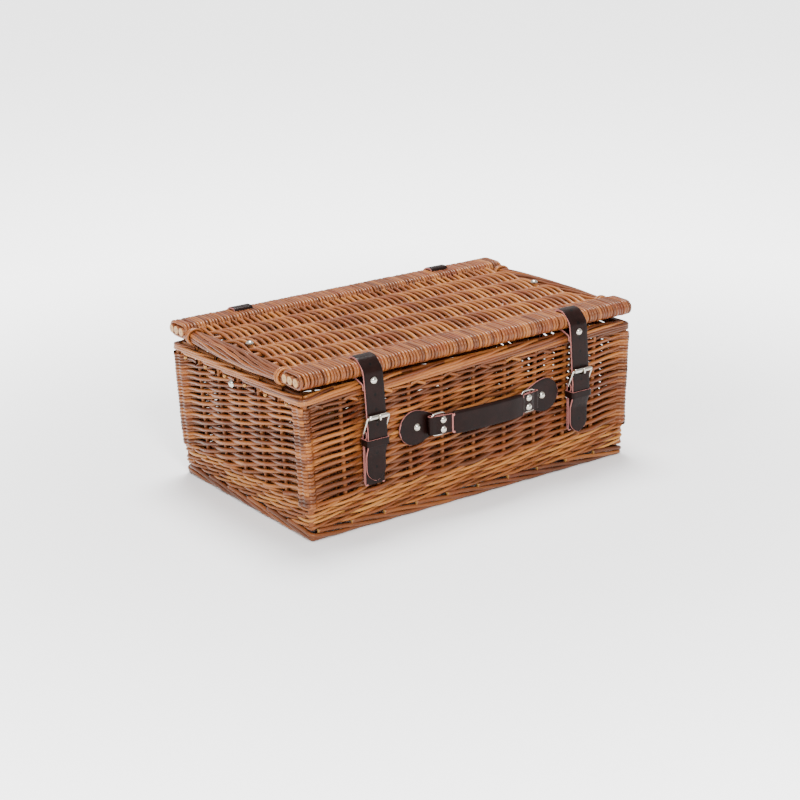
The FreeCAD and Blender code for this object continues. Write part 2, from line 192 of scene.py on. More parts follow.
def rgb(hexCode):
    # colour of a swatch, as the renderer's linear values
    parts = [int(hexCode[i:i + 2], 16) / 255 for i in (0, 2, 4)]
    return (*(c / 12.92 if c <= 0.04045 else ((c + 0.055) / 1.055) ** 2.4 for c in parts), 1)


willow = {
    "dark": "381608", "deep": "54280F", "mid": "733D19", "light": "985D2B", "straw": "B4803F",
    "blush": "6A2C16", "cut": "A87C44", "pith": "5E3414", "roughness": 0.36,
    "sheen": (1.0, 0.85, 0.68, 1.0),
}


def willowColour(mat, tone, grain, patch):
    # each rod has its own tone; grain runs along it and patches vary it slowly
    value = tone * 0.62 + patch * 0.34 + grain * 0.22 - 0.10
    return mat.add("ShaderNodeValToRGB", {"stops": [
        (0.10, rgb(willow["dark"])), (0.30, rgb(willow["deep"])), (0.52, rgb(willow["mid"])),
        (0.76, rgb(willow["light"])), (0.97, rgb(willow["straw"]))]}, {"Fac": value})


def makeWillow(name, warm=0.25, shift=0.0):
    # woven and wrapped rods: the attributes give place along the rod, tone and cut ends
    mat = Mat(name)
    rod = mat.attribute("rod", 1)
    tone = mat.attribute("tone") + shift
    tip = mat.attribute("tip")
    streak = mat.noise(mat.scaled(rod, (26.0, 2.6, 2.6)), 1.0, 3.0, 0.6)
    fine = mat.noise(mat.scaled(rod, (240.0, 6.0, 6.0)), 1.0, 2.0, 0.6)
    patch = mat.noise(mat.scaled(rod, (9.0, 0.5, 0.5)), 1.0, 2.0, 0.5)
    colour = willowColour(mat, tone, streak, patch)
    blush = mat.noise(mat.objectCoords(), 38.0, 2.0).step(0.46, 0.68)
    colour = mat.mix(blush * warm, colour, rgb(willow["blush"]))
    knots = mat.noise(mat.scaled(rod, (70.0, 0.9, 0.9)), 1.0, 1.0).step(0.69, 0.76)
    colour = mat.mix(knots * 0.55, colour, rgb(willow["dark"]))
    cutColour = mat.mix(tip.step(1.2, 1.9), rgb(willow["cut"]), rgb(willow["pith"]))
    colour = mat.mix(tip.step(0.3, 0.7), colour, cutColour)
    height = streak * 0.6 + fine * 0.4 - knots * 0.5
    return mat.finish(Base_Color=colour, Roughness=streak * 0.22 + (willow["roughness"] - 0.12),
                      Specular_Tint=willow["sheen"],
                      Normal=mat.bump(height, 0.35, 0.0006))


def makeStick(name, stretch):
    # plain sticks kept from the frame; the grain is stretched along the stick
    mat = Mat(name)
    place = mat.objectCoords()
    grain = mat.noise(mat.scaled(place, stretch), 1.0, 3.0, 0.6)
    tone = mat.noise(place, 21.0, 1.0)
    patch = mat.noise(place, 9.0, 1.0)
    colour = willowColour(mat, tone, grain, patch)
    return mat.finish(Base_Color=colour, Roughness=grain * 0.2 + 0.4, Specular_Tint=willow["sheen"],
                      Normal=mat.bump(grain, 0.3, 0.0005))


# hole is painted shade: the near-black put into the punched holes and into the crease groove
leatherLook = {
    "face": "120604", "worn": "1B0A07", "edge": "B0706A", "edgeDark": "84504B", "hole": "060302",
    "roughness": 0.34, "holePitch": 0.018, "holeRadius": 0.0021, "crease": 0.0022,
}


def makeLeather(name, holes=False, creased=True):
    mat = Mat(name)
    place = mat.objectCoords()
    cells = mat.add("ShaderNodeTexVoronoi", {"feature": "DISTANCE_TO_EDGE"},
                    {"Vector": place, "Scale": 950.0}).step(0.0, 0.12)
    cloud = mat.noise(place, 60.0, 4.0, 0.6)
    wear = mat.noise(place, 240.0, 3.0, 0.6).step(0.55, 0.8)
    colour = mat.mix(cloud.step(0.35, 0.75), rgb(leatherLook["face"]), rgb(leatherLook["worn"]))
    height = cells * 0.35 + cloud * 0.3
    along, across = mat.parts(mat.attribute("strap", 1))[:2]
    if creased:
        line = abs(abs(across) - leatherLook["crease"])
        groove = 1 - line.step(0.0002, 0.0006)
        height = height - groove * 0.8
        # painted shade: the crease groove is darkened towards the near-black of the recesses
        colour = mat.mix(groove * 0.5, colour, rgb(leatherLook["hole"]))
    rough = wear * 0.14 + cloud * 0.16 + (leatherLook["roughness"] - 0.1)
    if holes:
        pitch = leatherLook["holePitch"]
        away = along.maths("PINGPONG", pitch / 2)
        middle = mat.attribute("middle")
        far = (away * away + middle * middle).power(0.5)
        hole = 1 - far.step(leatherLook["holeRadius"] * 0.8, leatherLook["holeRadius"])
        hole = hole * along.step(0.012, 0.0125)     # none at the very tip
        # painted shade: each punched hole is coloured near-black for the shadow inside it
        colour = mat.mix(hole, colour, rgb(leatherLook["hole"]))
        height = height - hole * 2.0
    return mat.finish(Base_Color=colour, Roughness=rough, Specular_IOR_Level=0.1,
                      Normal=mat.bump(height, 0.18, 0.0004))


def makeEdge(name):
    # dyed cut edge of the leather
    mat = Mat(name)
    place = mat.objectCoords()
    fibre = mat.noise(place, 900.0, 3.0, 0.7)
    cloud = mat.noise(place, 90.0, 2.0)
    colour = mat.mix(fibre * 0.5 + cloud * 0.4, rgb(leatherLook["edge"]), rgb(leatherLook["edgeDark"]))
    return mat.finish(Base_Color=colour, Roughness=fibre * 0.2 + 0.6, Normal=mat.bump(fibre, 0.4, 0.0003))


nickelLook = {"bright": "C6C1B6", "dull": "9C958A", "roughness": 0.12}


def makeNickel(name):
    mat = Mat(name)
    place = mat.objectCoords()
    wear = mat.noise(place, 420.0, 4.0, 0.6)
    dull = mat.noise(place, 70.0, 2.0).step(0.4, 0.75)
    colour = mat.mix(dull * 0.5, rgb(nickelLook["bright"]), rgb(nickelLook["dull"]))
    return mat.finish(Base_Color=colour, Metallic=1.0, Roughness=wear * 0.16 + nickelLook["roughness"],
                      Normal=mat.bump(wear, 0.12, 0.0002))


looks = {
    "weave": makeWillow("willowWeave", 0.3, -0.04),
    "wale": makeWillow("willowWale", 0.2, 0.1),
    "border": makeWillow("willowBorder", 0.3, -0.02),
    "lid": makeWillow("willowLid", 0.42, 0.08),
    "wrap": makeWillow("willowWrap", 0.45, -0.05),
    "stickZ": makeStick("willowStickUpright", (160.0, 160.0, 18.0)),
    "stickX": makeStick("willowStickLong", (18.0, 160.0, 160.0)),
    "leather": makeLeather("leather"),
    "plainLeather": makeLeather("leatherPlain", creased=False),
    "holedLeather": makeLeather("leatherPunched", holes=True),
    "edge": makeEdge("leatherEdge"),
    "nickel": makeNickel("nickel"),
}
print("materials made")


# willow rods
def rodPiece(name, rods, look, body, nodes=(), sides=8):
    # each rod has "points" of (x, y, z, radius, tone), and "cut" names the ends closed with pale wood
    curve = bpy.data.curves.new(name, "CURVE")
    curve.dimensions = "3D"
    curve.bevel_depth = 1.0
    curve.bevel_resolution = sides // 2 - 2
    curve.use_fill_caps = False
    along, tones, tips = [], [], []
    for rod in rods:
        points = closeEnds(rod["points"], rod.get("cut", ""))
        spline = curve.splines.new("POLY")
        spline.points.add(len(points) - 1)
        spline.points.foreach_set("co", [c for p in points for c in (p[0], p[1], p[2], 1.0)])
        spline.points.foreach_set("radius", [p[3] for p in points])
        spline.use_cyclic_u = rod.get("closed", False)
        run = random.random() * 40
        last = points[0]
        for p in points:
            run += math.dist(p[:3], last[:3]) * mm
            last = p
            along.append(run)
            tones.append(p[4])
            tips.append(p[5] if len(p) > 5 else 0.0)
    obj = bpy.data.objects.new(name + "_curve", curve)
    bpy.context.scene.collection.objects.link(obj)
    evaluated = obj.evaluated_get(bpy.context.evaluated_depsgraph_get())
    mesh = bpy.data.meshes.new_from_object(evaluated)
    bpy.data.objects.remove(obj)
    mesh.name = name
    ring = len(mesh.vertices) // len(along)
    turn = [(math.cos(2 * math.pi * k / ring), math.sin(2 * math.pi * k / ring)) for k in range(ring)]
    rodData = mesh.attributes.new("rod", "FLOAT_VECTOR", "POINT")
    rodData.data.foreach_set("vector", [c for run in along for t in turn for c in (run, t[0], t[1])])
    mesh.attributes.new("tone", "FLOAT", "POINT").data.foreach_set("value", [t for t in tones for k in turn])
    mesh.attributes.new("tip", "FLOAT", "POINT").data.foreach_set("value", [t for t in tips for k in turn])
    mesh.transform(Matrix.Translation((0, centreY * mm, 0)) @ Matrix.Scale(mm, 4))
    return finishPiece(name, mesh, [look], body, nodes)


def closeEnds(points, cut):
    # closes a rod with a slightly rounded end; pale wood shows where it was cut
    points = list(points)
    for atStart in (True, False):
        if ("start" if atStart else "end") not in cut:
            continue
        end = points[0] if atStart else points[-1]
        inner = points[1] if atStart else points[-2]
        out = (Vector(end[:3]) - Vector(inner[:3])).normalized()
        rings = [(0.15, 0.93, 1.0), (0.25, 0.55, 1.0), (0.3, 0.18, 1.5), (0.31, 0.01, 2.0)]
        closing = []
        for reach, share, tip in rings:
            place = Vector(end[:3]) + out * reach
            closing.append((*place, end[3] * share, end[4], tip))
        points = closing[::-1] + points if atStart else points + closing
    return points


def wirePiece(name, points, body, node, sides=12, closed=False):
    # one bent wire of nickel
    rod = {"points": points, "closed": closed, "cut": "" if closed else "start end"}
    rodPiece(name, [rod], looks["nickel"], body, [node], sides)


def finishPiece(name, mesh, materials, body, nodes):
    for material in materials:
        mesh.materials.append(material)
    obj = bpy.data.objects.new(name, mesh)
    bpy.context.scene.collection.objects.link(obj)
    if isinstance(body, tuple):
        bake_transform(obj)
    else:
        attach(obj, body)
    if nodes:
        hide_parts(*nodes)
    return obj


def rodTone(low=0.15, high=0.85):
    return random.uniform(low, high)


def wander(seed, s, size):
    # slow smooth wandering, so that no rod is quite straight
    return size * (math.sin(s * 0.031 + seed * 7.1) + 0.6 * math.sin(s * 0.083 + seed * 3.7)) / 1.6


# walls
def onSide(side, u, outX, outY, z):
    # u runs along a side from corner to corner, anticlockwise from above
    return {"front": (u, -outY, z), "right": (outX, u, z),
            "rear": (-u, outY, z), "left": (-outX, -u, z)}[side]


def wallPoint(side, u, out, z):
    # out is from the line of the stakes
    hx, hy = halfSize(z)
    return onSide(side, u, hx - basket["midWall"] + out, hy - basket["midWall"] + out, z)


def halfSide(side, z):
    hx, hy = halfSize(z)
    return (hx if side in ("front", "rear") else hy) - basket["midWall"]


def stakePlaces(side, z):
    long = side in ("front", "rear")
    count = basket["stakesLong"] if long else basket["stakesShort"]
    spread = halfSize(z)[0] / basket["halfLong"] if long else 1.0
    return [(i - (count - 1) / 2) * basket["stakeGap"] * spread for i in range(count)]


wallWeave = {
    "rows": 28, "lowPitch": 4.8, "highPitch": 3.75, "corner": 5.6,
    "bulge": {"front": 4.1, "right": 3.3, "rear": 3.3, "left": 4.1},
    "fill": {"front": 0.57, "right": 0.7, "rear": 0.7, "left": 0.56},
    "climb": {"front": 1, "right": 2, "rear": 1, "left": 2},     # rows gained from stake to stake
    # how far out a rod lies at places between the corner and the first stake, and how much
    # that differs between a rod that is outside the first stake and one inside it
    "turn": {"front": [(0.16, 0.0, 0.9), (0.46, -1.2, 2.4)],
             "right": [(0.1, 4.6, 0.0), (0.23, 5.4, 0.2), (0.42, 0.2, 1.4), (0.66, -0.6, 2.6)],
             "rear": [(0.16, 0.0, 0.9), (0.46, -1.2, 2.4)],
             "left": [(0.1, 4.6, 0.0), (0.23, 5.4, 0.2), (0.42, 0.2, 1.4), (0.66, -0.6, 2.6)]},
    "steps": 8, "rodLength": 760.0, "arc": (14, 28, 42, 54),
}


def rowHeights():
    rows = wallWeave["rows"]
    pitches = [lerp(wallWeave["lowPitch"], wallWeave["highPitch"], i / (rows - 1)) for i in range(rows)]
    room = basket["borderZ"] - basket["waleZ"]
    scale = room / sum(pitches)
    z = basket["waleZ"]
    heights = []
    for pitch in pitches:
        heights.append((z + pitch * scale / 2, pitch * scale))
        z += pitch * scale
    return heights


def heightAt(heights, row):
    row = min(max(row, -0.6), len(heights) - 0.4)
    low = min(max(int(math.floor(row)), 0), len(heights) - 2)
    t = row - low
    return (lerp(heights[low][0], heights[low + 1][0], t), lerp(heights[low][1], heights[low + 1][1], t))


def wallRod(side, start, heights, mapTone):
    # one weaver: it climbs from stake to stake, outside one and inside the next
    climb = wallWeave["climb"][side]
    stakes = stakePlaces(side, heights[0][0])
    last = len(stakes)
    turn = wallWeave["turn"][side]
    outside = [1 if (start + (climb + climb % 2 + 1) * i) % 2 == 0 else -1 for i in range(last)]
    knots = [(-1, wallWeave["corner"])]
    knots += [(-1 + share, out + swing * outside[0]) for share, out, swing in turn]
    knots += [(i, wallWeave["bulge"][side] * outside[i]) for i in range(last)]
    knots += [(last - share, out + swing * outside[-1]) for share, out, swing in turn[::-1]]
    knots.append((last, wallWeave["corner"]))
    knots = [(i, start + climb * i, out) for i, out in knots]
    knots = [k for k in knots if -1 <= k[1] <= wallWeave["rows"]]
    if len(knots) < 2:
        return None
    points = []
    size = random.uniform(0.93, 1.07) * wallWeave["fill"][side]
    steps = wallWeave["steps"]
    for (i, row, out), (j, nextRow, nextOut) in zip(knots, knots[1:]):
        for k in range(steps + (1 if j == knots[-1][0] else 0)):
            t = k / steps
            z, pitch = heightAt(heights, lerp(row, nextRow, t))
            u = placeOf(lerp(i, j, t), stakes, side, z)
            offset = lerp(out, nextOut, smooth(t))
            s = u + 900 * sides.index(side)
            z += wander(start, s, 0.35)
            radius = pitch * size * (1 + wander(start * 1.7, s * 0.4, 0.12))
            points.append((u, offset, z, radius, mapTone(start, s)))
    points = turnCorners(points, knots, stakes)
    return {"points": [(*wallPoint(side, p[0], p[1], p[2]), p[3], p[4]) for p in points]}


def placeOf(i, stakes, side, z):
    # place along a side, counted in stakes; the corners are -1 and one past the last
    places = [-halfSide(side, z)] + stakes + [halfSide(side, z)]
    low = min(int(math.floor(i)) + 1, len(places) - 2)
    return lerp(places[low], places[low + 1], i + 1 - low)


def turnCorners(points, knots, stakes):
    # carries a weaver a little more than half way round each corner post that it reaches
    out = wallWeave["corner"]
    for atStart, index in ((True, -1), (False, len(stakes))):
        if index not in (knots[0][0], knots[-1][0]):
            continue
        if (index == knots[0][0]) != atStart:
            continue
        end = points[0] if atStart else points[-1]
        reach = math.copysign(out, end[0])
        arc = []
        for angle in wallWeave["arc"]:
            a = math.radians(angle)
            arc.append((end[0] + reach * math.sin(a), out * math.cos(a), *end[2:]))
        points = arc[::-1] + points if atStart else points + arc
    return points


def wallTones():
    # tones that change where one rod gives way to the next
    table = {}

    def tone(row, s):
        key = (row, int((s + row * 211) // wallWeave["rodLength"]))
        if key not in table:
            table[key] = random.uniform(0.12, 0.88)
        return table[key]
    return tone


def makeWallWeave(side):
    heights = rowHeights()
    tone = wallTones()
    count = len(stakePlaces(side, 100))
    rods = []
    climb = wallWeave["climb"][side]
    for start in range(-climb * (count + 1), wallWeave["rows"] + climb + 1):
        rod = wallRod(side, start, heights, tone)
        if rod:
            rods.append(rod)
    rodPiece("weave_" + side, rods, looks["weave"], "basket", [side + "_wall_weave"])


for side in sides:
    makeWallWeave(side)
print("wall weave made")


# bands that run right round
ringSides = {"front": 480, "right": 290, "rear": 480, "left": 290}
ringCorner = 10      # length given to each corner
ringLength = sum(ringSides.values()) + 4 * ringCorner


def ringPoint(s, out, z):
    # place on the line of the stakes, s along it from the front left corner, anticlockwise
    hx, hy = halfSize(z)
    turn = max(out, 0.6)
    cx = hx - basket["midWall"] + out - turn
    cy = hy - basket["midWall"] + out - turn
    s = s % ringLength
    for side, length in ringSides.items():
        if s <= length:
            half = cx if side in ("front", "rear") else cy
            return onSide(side, (s / length * 2 - 1) * half, cx + turn, cy + turn, z)
        s -= length
        if s <= ringCorner:
            a = math.radians({"front": -90, "right": 0, "rear": 90, "left": 180}[side] + 90 * s / ringCorner)
            signX, signY = {"front": (1, -1), "right": (1, 1), "rear": (-1, 1), "left": (-1, -1)}[side]
            return (signX * cx + turn * math.cos(a), signY * cy + turn * math.sin(a), z)
        s -= ringCorner
    return (-cx, -(cy + turn), z)


def ringStakes():
    # where stakes and corner posts stand along that line
    places = []
    begin = 0
    for side, length in ringSides.items():
        long = side in ("front", "rear")
        count = basket["stakesLong"] if long else basket["stakesShort"]
        gap = basket["stakeGap"] * (1.0165 if long else 1.0)
        places.append(begin + 1)
        places += [begin + length / 2 + (i - (count - 1) / 2) * gap for i in range(count)]
        begin += length + ringCorner
    return places


wale = {"rows": 4, "strands": 3, "twists": 17, "out": 3.6, "swell": 2.1, "radius": 1.95, "step": 5.0}


def makeWale():
    low, high = basket["footZ"], basket["waleZ"]
    pitch = (high - low) / wale["rows"]
    rods = []
    for row in range(wale["rows"]):
        for strand in range(wale["strands"]):
            count = int(ringLength / wale["step"])
            shift = random.random()
            tones = [rodTone(0.3, 1.0) for k in range(5)]
            points = []
            for k in range(count):
                s = k * ringLength / count
                turn = 2 * math.pi * (wale["twists"] * s / ringLength + strand / wale["strands"]) + row
                z = low + (row + 0.5) * pitch + wale["swell"] * math.sin(turn)
                z += wander(row + strand, s, 0.4)
                out = 1.0 + wale["out"] * math.cos(turn)
                radius = wale["radius"] * (1 + 0.12 * math.sin(s * 0.011 + strand * 2 + row))
                tone = tones[int((s / ringLength + shift) * 5) % 5]
                points.append((*ringPoint(s, out, z), radius, tone))
            rods.append({"points": points, "closed": True})
    rodPiece("wale", rods, looks["wale"], "basket", ["bottom_wale"])


makeWale()

foot = {"radius": 3.1, "length": 138.0, "steps": 30, "begin": 4, "high": 12.4, "out": (3.6, 1.2),
        "thin": 0.8}


def makeFoot():
    # one rod for each stake, cut short outside and running down under its neighbours
    rods = []
    for place in ringStakes():
        tone = rodTone(0.1, 0.7)
        size = foot["radius"] * random.uniform(0.93, 1.07)
        points = []
        for k in range(foot["steps"] + 1):
            t = k / foot["steps"]
            s = place + foot["begin"] + t * foot["length"]
            z = lerp(foot["high"], size + 0.05, smooth(t * 1.35))
            out = lerp(*foot["out"], smooth((t - 0.55) * 2.2))
            points.append((*ringPoint(s, out, z), size * lerp(1, foot["thin"], t), tone))
        rods.append({"points": points, "cut": "start end"})
    rodPiece("foot", rods, looks["border"], "basket", ["foot_border"])


makeFoot()

border = {"radius": 2.5, "length": 196.0, "steps": 42, "stub": 2.3, "lift": 3.2,
          "out": (-1.5, 4.6), "tuck": 5.5, "innerLength": 150, "innerSteps": 24, "innerOut": (-7.2, -3.0)}


def makeBorder():
    # each stake is bent over and laid along the rim over its neighbours
    rods = []
    low, high = basket["borderZ"], basket["rimZ"]
    for place in ringStakes():
        tone = rodTone(0.05, 0.95)
        size = border["radius"] * random.uniform(0.92, 1.1)
        points = []
        for k in range(border["steps"] + 1):
            t = k / border["steps"]
            s = place + t * border["length"]
            top = high + border["lift"] * longSide(s)
            z = lerp(low - 2, low + 4.0, smooth(t * 12)) + (top - low - 6.5) * min(t * 1.08, 1.0)
            out = lerp(*border["out"], smooth(t * 7)) - border["tuck"] * smooth((t - 0.8) * 5)
            z += wander(place, s, 0.3)
            points.append((*ringPoint(s, out, min(z, top - size)), size * lerp(1.05, 0.8, t), tone))
        rods.append({"points": points})
        rods.append(innerRod(place, high, size, tone))
        rods.append(stub(place, low, tone))
    rodPiece("border", rods, looks["border"], "basket", ["top_border"])


def longSide(s):
    # 1 along the front and the rear, 0 along the ends and at the corners
    s = s % (ringLength / 2)
    fade = 40
    return smooth(s / fade) * smooth((ringSides["front"] - s) / fade)


def innerRod(place, high, size, tone):
    # the inside of the rim, seen when the lid is open
    points = []
    for k in range(border["innerSteps"] + 1):
        t = k / border["innerSteps"]
        s = place + border["innerLength"] * t
        z = high + border["lift"] * longSide(s) - size - 9 * (1 - smooth(t * 1.2))
        points.append((*ringPoint(s, lerp(*border["innerOut"], smooth(t)), z), size * 0.9, tone))
    return {"points": points, "cut": "start"}


def stub(place, low, tone):
    # cut end that shows under the border beside each stake
    points = []
    for k in range(7):
        t = k / 6
        points.append((*ringPoint(place + 6 + 16 * t, lerp(-4.0, 4.4, t), lerp(low + 3, low - 1.2, t)),
                       border["stub"], tone))
    return {"points": points, "cut": "end"}


makeBorder()
print("wale, foot and border made")


# base and lid panels
def panelRod(x, sticks, ends, zMid, bulge, radius, first, seed, tone, endOut):
    # weaver across the sticks of a flat panel, over one stick and under the next
    knots = [(ends[0], endOut * first)]
    knots += [(y, bulge * (first if i % 2 else -first)) for i, y in enumerate(sticks)]
    lastSign = first if len(sticks) % 2 else -first
    knots.append((ends[1], endOut * lastSign))
    points = []
    for (y0, o0), (y1, o1) in zip(knots, knots[1:]):
        for k in range(8):
            t = k / 8
            y = lerp(y0, y1, t)
            out = lerp(o0, o1, smooth(t))
            fat = 1 + 0.08 * (1 - abs(2 * t - 1))
            points.append((x + wander(seed, y * 3, 0.5), y, zMid + out, radius * fat, tone))
    points.append((x, ends[1], zMid + knots[-1][1], radius, tone))
    return {"points": points}


baseWeave = {"pitch": 4.9, "radius": 2.3, "bulge": 3.4, "sticks": 5}


def makeBase():
    low, high = boxMm("base_weave")
    mid = (low[2] + high[2]) / 2
    hy = (high[1] - low[1]) / 2
    gap = 2 * hy / (baseWeave["sticks"] + 1)
    sticks = [(i - (baseWeave["sticks"] - 1) / 2) * gap for i in range(baseWeave["sticks"])]
    count = int((high[0] - low[0] - 4) / baseWeave["pitch"])
    rods = []
    for i in range(count):
        x = (i - (count - 1) / 2) * baseWeave["pitch"]
        radius = baseWeave["radius"] * random.uniform(0.9, 1.08)
        first = 1 if i % 2 else -1
        rods.append(panelRod(x, sticks, (-hy - 3, hy + 3), mid, baseWeave["bulge"], radius, first, i,
                             rodTone(), 0.5))
    rodPiece("base", rods, looks["weave"], "basket", ["base_weave"])


makeBase()

lid = {"pitch": 4.6, "radius": 2.25, "bulge": 4.3, "sticks": 4, "gap": 46.4, "slip": 2.5}


def makeLidWeave():
    low, high = boxMm("lid_weave")
    mid = (low[2] + high[2]) / 2
    hy = (high[1] - low[1]) / 2
    sticks = [(i - (lid["sticks"] - 1) / 2) * lid["gap"] for i in range(lid["sticks"])]
    count = int((high[0] - low[0] + 6) / lid["pitch"])
    rods = []
    for i in range(count):
        x = (i - (count - 1) / 2) * lid["pitch"] + random.uniform(-0.25, 0.25)
        radius = lid["radius"] * random.uniform(0.86, 1.12)
        first = 1 if i % 2 else -1
        ends = (-hy - lid["slip"], hy + lid["slip"])
        rods.append(panelRod(x, sticks, ends, mid, lid["bulge"], radius, first, i, rodTone(0.2, 0.85), 3.2))
    rodPiece("lid_panel", rods, looks["lid"], "lid", ["lid_weave"])


makeLidWeave()

roll = {"stick": 5.4, "gap": 11.8, "wrap": 2.2, "pitch": 4.45, "seat": 12.0, "bare": 2.5, "margin": 2.2}


def rollMiddle(end):
    low, high = boxMm("lid_" + end + "_wrap")
    return (low[1] + high[1]) / 2 - centreY, (low[2] + high[2]) / 2, high[0]


def stadiumPoint(t, reach, radius):
    # place on the rounded outline of a roll, t from 0 to 1
    straight = 2 * reach
    arc = math.pi * radius
    total = 2 * (straight + arc)
    d = (t % 1.0) * total
    if d < straight:
        return -reach + d, radius
    d -= straight
    if d < arc:
        a = math.pi / 2 - d / radius
        return reach + radius * math.cos(a), radius * math.sin(a)
    d -= arc
    if d < straight:
        return reach - d, -radius
    d -= straight
    a = -math.pi / 2 - d / radius
    return -reach + radius * math.cos(a), radius * math.sin(a)


def makeRoll(end):
    yMid, zMid, xEnd = rollMiddle(end)
    sticks = []
    for k in (-1, 0, 1):
        tone = rodTone(0.3, 0.6)
        points = []
        for i in range(41):
            x = lerp(-xEnd - roll["bare"], xEnd + roll["bare"], i / 40)
            y = yMid + k * roll["gap"] + wander(k + 5, x * 2, 0.3)
            points.append((x, y, zMid + wander(k, x * 2, 0.25), roll["stick"], tone))
        sticks.append({"points": points, "cut": "start end"})
    rodPiece("roll_sticks_" + end, sticks, looks["border"], "lid", ["lid_" + end + "_sticks"], 12)
    wraps = []
    room = 2 * (xEnd - roll["margin"])
    count = int(room / roll["pitch"]) + 1
    reach = roll["gap"]
    for i in range(count):
        x = -room / 2 + room * i / (count - 1) + random.uniform(-0.35, 0.35)
        tone = rodTone(0.2, 0.8)
        lean = random.uniform(-0.9, 0.9)
        thick = roll["wrap"] * random.uniform(0.86, 1.1)
        seat = roll["stick"] + roll["wrap"] * 0.98
        loose = random.uniform(0.0, 0.35)
        points = []
        for k in range(30):
            y, z = stadiumPoint(k / 30, reach, seat + loose)
            dx = lean * math.sin(2 * math.pi * k / 30) + 0.3 * math.sin(6 * math.pi * k / 30 + i)
            points.append((x + dx, yMid + y, zMid + z, thick, tone))
        wraps.append({"points": points, "closed": True})
    rodPiece("roll_wrap_" + end, wraps, looks["wrap"], "lid", ["lid_" + end + "_wrap"], 6)


makeRoll("front")
makeRoll("rear")

bundle = {"rods": 12, "radius": 2.35, "twist": 0.8, "sag": 0.8, "wraps": 5, "shown": 2,
          "bindRadius": 1.8, "bind": (10.9, 8.6)}


def makeLidBorder(side):
    # long rods laid together along a short edge of the lid, bound at both ends
    low, high = boxMm("lid_border_" + side)
    xMid = (low[0] + high[0]) / 2
    zMid = (low[2] + high[2]) / 2 + 0.6
    hy = (high[1] - low[1]) / 2
    s = 1 if side == "right" else -1
    rods = []
    for i in range(bundle["rods"] + 2):
        tone = rodTone(0.15, 0.75)
        phase = 2 * math.pi * i / bundle["rods"]
        inner = i >= bundle["rods"]
        size = bundle["radius"] * random.uniform(0.88, 1.1)
        points = []
        for k in range(33):
            t = k / 32
            y = lerp(-hy - 9, hy + 9, t)
            belly = math.sin(math.pi * t)
            angle = phase + bundle["twist"] * math.pi * (t - 0.5) + wander(i, y * 2, 0.12)
            across = (2.0 if inner else lerp(6.6, 9.6, belly)) * math.cos(angle)
            up = (2.0 if inner else lerp(4.6, 8.2, belly)) * math.sin(angle)
            points.append((xMid + s * (across + 1.2 * belly), y, zMid + up - bundle["sag"] * belly,
                           size, tone))
        rods.append({"points": points})
    for end in (-1, 1):
        tones = [rodTone(0.3, 0.8) for k in range(bundle["wraps"])]
        for k in range(bundle["shown"]):
            y = end * (hy - 4.5 - k * 4.1)
            wide, high = [size * (1 + 0.05 * k) for size in bundle["bind"]]
            points = []
            for j in range(20):
                a = 2 * math.pi * j / 20
                points.append((xMid + wide * math.cos(a), y + 1.4 * math.sin(a), zMid + high * math.sin(a),
                               bundle["bindRadius"], tones[k]))
            rods.append({"points": points, "closed": True})
    rodPiece("lid_edge_" + side, rods, looks["border"], "lid", ["lid_border_" + side])


makeLidBorder("left")
makeLidBorder("right")
print("base and lid made")


# leather
def roundedRoute(points, radius=2.5, step=2.0):
    # a route with rounded corners, as evenly spaced places; each point is (u, v) or (u, v, radius)
    dense = [Vector(points[0][:2])]
    for before, here, after in zip(points, points[1:], points[2:]):
        p, q, r = Vector(before[:2]), Vector(here[:2]), Vector(after[:2])
        inward, outward = (p - q).normalized(), (r - q).normalized()
        bend = math.pi - inward.angle(outward)
        size = here[2] if len(here) > 2 else radius
        reach = min(size * math.tan(bend / 2), (p - q).length * 0.49, (r - q).length * 0.49)
        for k in range(9):
            t = k / 8
            a = q + inward * reach * (1 - t)
            b = q + outward * reach * t
            dense.append(a.lerp(b, t))
    dense.append(Vector(points[-1][:2]))
    return evenly(dense, step)


def evenly(dense, step):
    lengths = [0.0]
    for a, b in zip(dense, dense[1:]):
        lengths.append(lengths[-1] + (b - a).length)
    count = max(int(lengths[-1] / step), 4)
    places = []
    j = 0
    for k in range(count + 1):
        d = lengths[-1] * k / count
        while j < len(lengths) - 2 and lengths[j + 1] < d:
            j += 1
        span = lengths[j + 1] - lengths[j]
        t = (d - lengths[j]) / span if span else 0.0
        places.append(dense[j].lerp(dense[j + 1], t))
    return places


def offPlane(plane, p, away):
    # a place given in a plane, moved away from it along the third axis
    return Vector({"yz": (away, p.x, p.y), "xz": (p.x, away, p.y), "xy": (p.x, p.y, away)}[plane])


